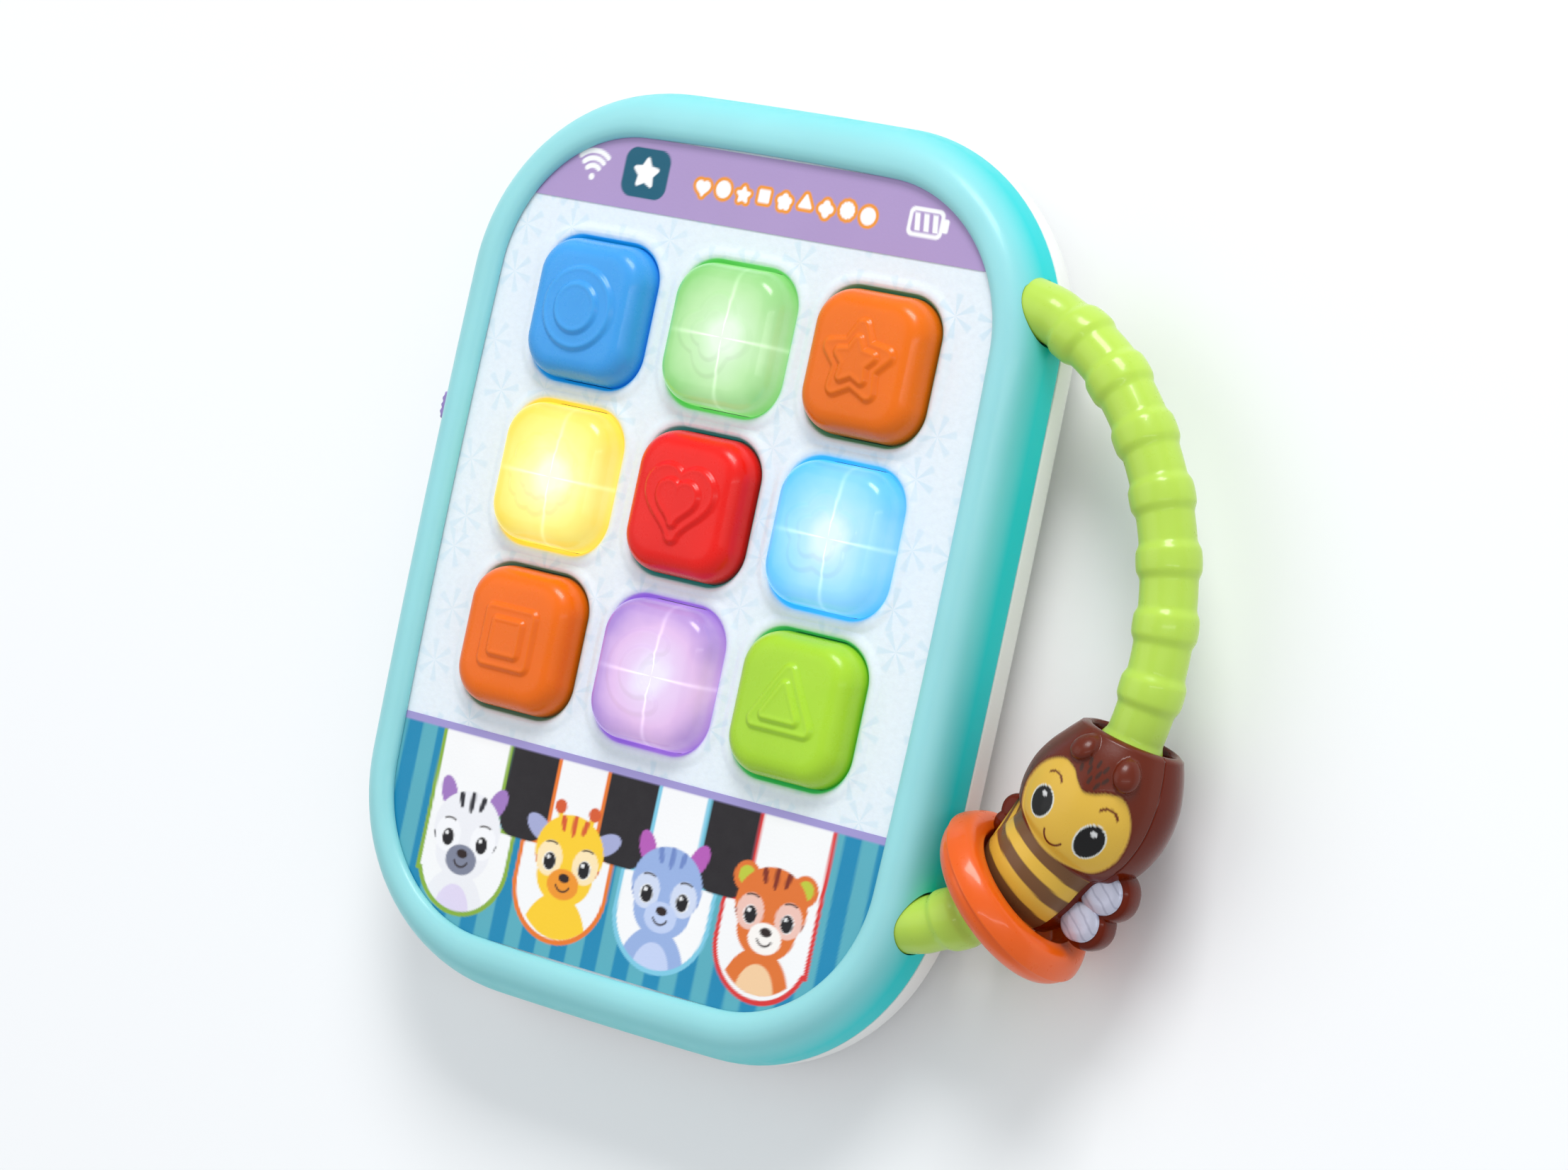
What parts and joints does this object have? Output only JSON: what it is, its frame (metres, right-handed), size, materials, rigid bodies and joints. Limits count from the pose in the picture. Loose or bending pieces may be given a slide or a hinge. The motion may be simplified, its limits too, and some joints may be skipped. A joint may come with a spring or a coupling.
{
  "type": "toy tablet",
  "caption": "Flat toy tablet with raised light-up push buttons, a printed piano strip, a side volume slider and a ridged arc handle that carries a sliding ring and bee.",
  "frame": {"origin": "middle of the case's back, on the foot pad there, on the plane that the toy rests on", "axes": "+Z out of the face, +Y up the face towards the header, +X across it towards the handle"},
  "size_m": [0.2058, 0.2066, 0.0404],
  "materials": {
    "teal_shell": "satin moulded",
    "cream_shell": "fine matt",
    "panel_white": "fine leather grain",
    "header_print": "laminated print",
    "piano_print": "laminated print",
    "touch_film": "clear film",
    "board_green": "circuit board",
    "rubber_grey": "silicone rubber",
    "baffle_white": "plain",
    "lamp": "clear",
    "steel": "plated",
    "cone_paper": "pressed paper",
    "cell_wrap": "film wrap",
    "switch_black": "plain",
    "pad_grey": "soft rubber",
    "knob_lilac": "satin moulded",
    "lime_plastic": "satin moulded",
    "orange_plastic": "satin moulded",
    "bee_yellow": "fine speckle",
    "bee_brown": "glossy moulded",
    "wing_brown": "glossy moulded",
    "cap_1": "glossy moulded",
    "cap_2": "translucent, lit from inside",
    "cap_3": "glossy moulded",
    "cap_4": "translucent, lit from inside",
    "cap_5": "glossy moulded",
    "cap_6": "translucent, lit from inside",
    "cap_7": "glossy moulded",
    "cap_8": "translucent, lit from inside",
    "cap_9": "glossy moulded"
  },
  "bodies": {
    "tablet": {"front_shell": "teal_shell", "back_shell": "cream_shell", "face_panel": "panel_white", "header_label": "header_print", "piano_label": "piano_print", "touch_film": "touch_film", "main_board": "board_green", "keypad_sheet": "rubber_grey", "light_baffle": "baffle_white", "lamp_2": "lamp", "lamp_4": "lamp", "lamp_6": "lamp", "lamp_8": "lamp", "speaker_frame": "steel", "speaker_cone": "cone_paper", "speaker_magnet": "steel", "battery_a": "cell_wrap", "contact_left_a": "steel", "contact_right_a": "steel", "battery_b": "cell_wrap", "contact_left_b": "steel", "contact_right_b": "steel", "case_screw_1": "steel", "case_screw_2": "steel", "case_screw_3": "steel", "case_screw_4": "steel", "case_screw_5": "steel", "case_screw_6": "steel", "volume_switch": "switch_black", "foot_pad_1": "pad_grey", "foot_pad_2": "pad_grey", "foot_pad_3": "pad_grey", "foot_pad_4": "pad_grey", "foot_pad_5": "pad_grey", "handle_tube": "lime_plastic"},
    "button_1": {"button_cap_1": "cap_1"},
    "button_2": {"button_cap_2": "cap_2"},
    "button_3": {"button_cap_3": "cap_3"},
    "button_4": {"button_cap_4": "cap_4"},
    "button_5": {"button_cap_5": "cap_5"},
    "button_6": {"button_cap_6": "cap_6"},
    "button_7": {"button_cap_7": "cap_7"},
    "button_8": {"button_cap_8": "cap_8"},
    "button_9": {"button_cap_9": "cap_9"},
    "volume": {"volume_knob": "knob_lilac"},
    "ring": {"slide_ring": "orange_plastic"},
    "bee": {"bee_front": "bee_yellow", "bee_back": "bee_brown", "wing_outer": "wing_brown", "wing_inner": "wing_brown"},
    "door": {"battery_door": "cream_shell"},
    "screw": {"door_screw": "steel"}
  },
  "joints": [
    {"name": "button_press_1", "type": "slide", "parent": "tablet", "child": "button_1", "axis": [0, 0, -1], "range_m": [0, 0.002], "stiffness_N_per_m": 400},
    {"name": "button_press_2", "type": "slide", "parent": "tablet", "child": "button_2", "axis": [0, 0, -1], "range_m": [0, 0.002], "stiffness_N_per_m": 400},
    {"name": "button_press_3", "type": "slide", "parent": "tablet", "child": "button_3", "axis": [0, 0, -1], "range_m": [0, 0.002], "stiffness_N_per_m": 400},
    {"name": "button_press_4", "type": "slide", "parent": "tablet", "child": "button_4", "axis": [0, 0, -1], "range_m": [0, 0.002], "stiffness_N_per_m": 400},
    {"name": "button_press_5", "type": "slide", "parent": "tablet", "child": "button_5", "axis": [0, 0, -1], "range_m": [0, 0.002], "stiffness_N_per_m": 400},
    {"name": "button_press_6", "type": "slide", "parent": "tablet", "child": "button_6", "axis": [0, 0, -1], "range_m": [0, 0.002], "stiffness_N_per_m": 400},
    {"name": "button_press_7", "type": "slide", "parent": "tablet", "child": "button_7", "axis": [0, 0, -1], "range_m": [0, 0.002], "stiffness_N_per_m": 400},
    {"name": "button_press_8", "type": "slide", "parent": "tablet", "child": "button_8", "axis": [0, 0, -1], "range_m": [0, 0.002], "stiffness_N_per_m": 400},
    {"name": "button_press_9", "type": "slide", "parent": "tablet", "child": "button_9", "axis": [0, 0, -1], "range_m": [0, 0.002], "stiffness_N_per_m": 400},
    {"name": "volume_slide", "type": "slide", "parent": "tablet", "child": "volume", "axis": [0, 1, 0], "range_m": [-0.0058, 0.0058]},
    {"name": "ring_slide", "type": "hinge", "parent": "tablet", "child": "ring", "pos_m": [0.0402, 0.0032, 0.021], "axis": [0, 0, 1], "range_deg": [-1.5, 30]},
    {"name": "bee_slide", "type": "hinge", "parent": "ring", "child": "bee", "pos_m": [0.0402, 0.0032, 0.021], "axis": [0, 0, 1], "range_deg": [0, 30]},
    {"name": "door_swing", "type": "hinge", "parent": "tablet", "child": "door", "pos_m": [-0.03, 0.047, 0.0004], "axis": [0, 1, 0], "range_deg": [0, 75]},
    {"name": "door_screw_turn", "type": "hinge", "parent": "door", "child": "screw", "pos_m": [0.0265, 0.047, 0], "axis": [0, 0, 1], "continuous": true}
  ]
}
